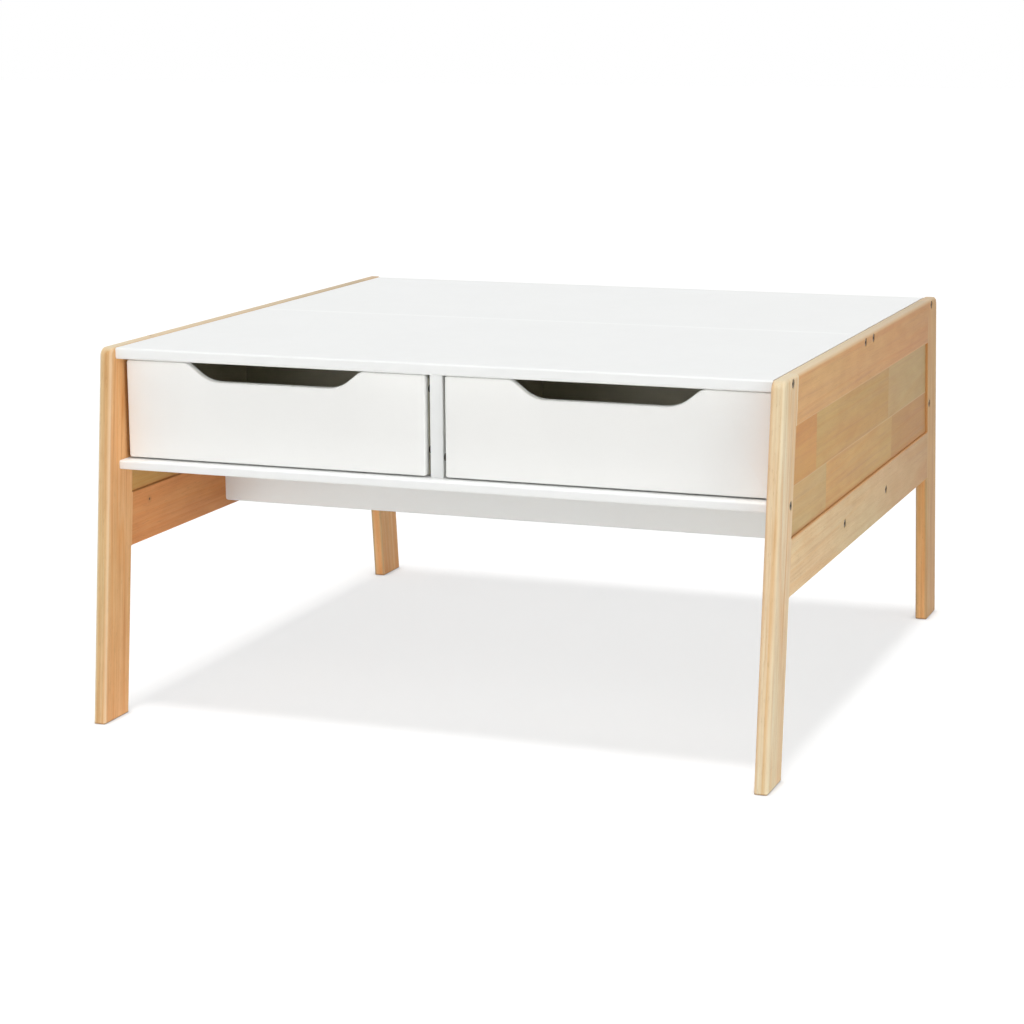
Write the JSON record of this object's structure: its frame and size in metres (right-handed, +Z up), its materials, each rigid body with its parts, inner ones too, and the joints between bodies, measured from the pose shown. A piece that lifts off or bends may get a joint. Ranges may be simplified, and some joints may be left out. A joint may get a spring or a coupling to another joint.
{
  "type": "kids table with storage",
  "caption": "Low wooden play table for children with a white top, full shelf and scoop-handled drawers between two leaning framed sides.",
  "frame": {"origin": "on the floor under the middle of the table", "axes": "+Z up, +X to the right for someone who faces the drawers, -Y out of the front, where the drawers open"},
  "size_m": [0.93, 0.9988, 0.5],
  "materials": {
    "leg_wood": "clear satin lacquer",
    "rail_wood": "clear satin lacquer",
    "panel_wood": "edge-glued staves, clear satin lacquer",
    "white_paint": "satin white paint on fibreboard",
    "plain_wood": "unfinished",
    "dark_steel": "dark bronze plating",
    "zinc_steel": "bright zinc",
    "glide_nylon": "smooth nylon"
  },
  "bodies": {
    "table": {"left_front_leg": "leg_wood", "left_rear_leg": "leg_wood", "left_top_rail": "rail_wood", "left_lower_rail": "rail_wood", "left_side_panel": "panel_wood", "right_front_leg": "leg_wood", "right_rear_leg": "leg_wood", "right_top_rail": "rail_wood", "right_lower_rail": "rail_wood", "right_side_panel": "panel_wood", "front_top_board": "white_paint", "rear_top_board": "white_paint", "shelf": "white_paint", "centre_divider": "white_paint", "front_stretcher": "white_paint", "rear_stretcher": "white_paint", "left_drawer_stop": "plain_wood", "right_drawer_stop": "plain_wood", "left_frame_bolts": "dark_steel", "right_frame_bolts": "dark_steel", "left_barrel_nuts": "zinc_steel", "right_barrel_nuts": "zinc_steel", "left_frame_dowels": "plain_wood", "right_frame_dowels": "plain_wood", "stretcher_dowels": "plain_wood", "divider_bolts": "dark_steel", "divider_barrel_nuts": "zinc_steel", "divider_dowels": "plain_wood"},
    "left_drawer": {"left_drawer_front": "white_paint", "left_drawer_left_side": "white_paint", "left_drawer_right_side": "white_paint", "left_drawer_back": "white_paint", "left_drawer_bottom": "white_paint", "left_drawer_glides": "glide_nylon", "left_drawer_cam_locks": "dark_steel", "left_drawer_cam_posts": "zinc_steel", "left_drawer_screws": "zinc_steel"},
    "right_drawer": {"right_drawer_front": "white_paint", "right_drawer_left_side": "white_paint", "right_drawer_right_side": "white_paint", "right_drawer_back": "white_paint", "right_drawer_bottom": "white_paint", "right_drawer_glides": "glide_nylon", "right_drawer_cam_locks": "dark_steel", "right_drawer_cam_posts": "zinc_steel", "right_drawer_screws": "zinc_steel"}
  },
  "joints": [
    {"name": "left_drawer_slide", "type": "slide", "parent": "table", "child": "left_drawer", "axis": [0, -1, 0], "range_m": [0, 0.24]},
    {"name": "right_drawer_slide", "type": "slide", "parent": "table", "child": "right_drawer", "axis": [0, -1, 0], "range_m": [0, 0.24]}
  ]
}
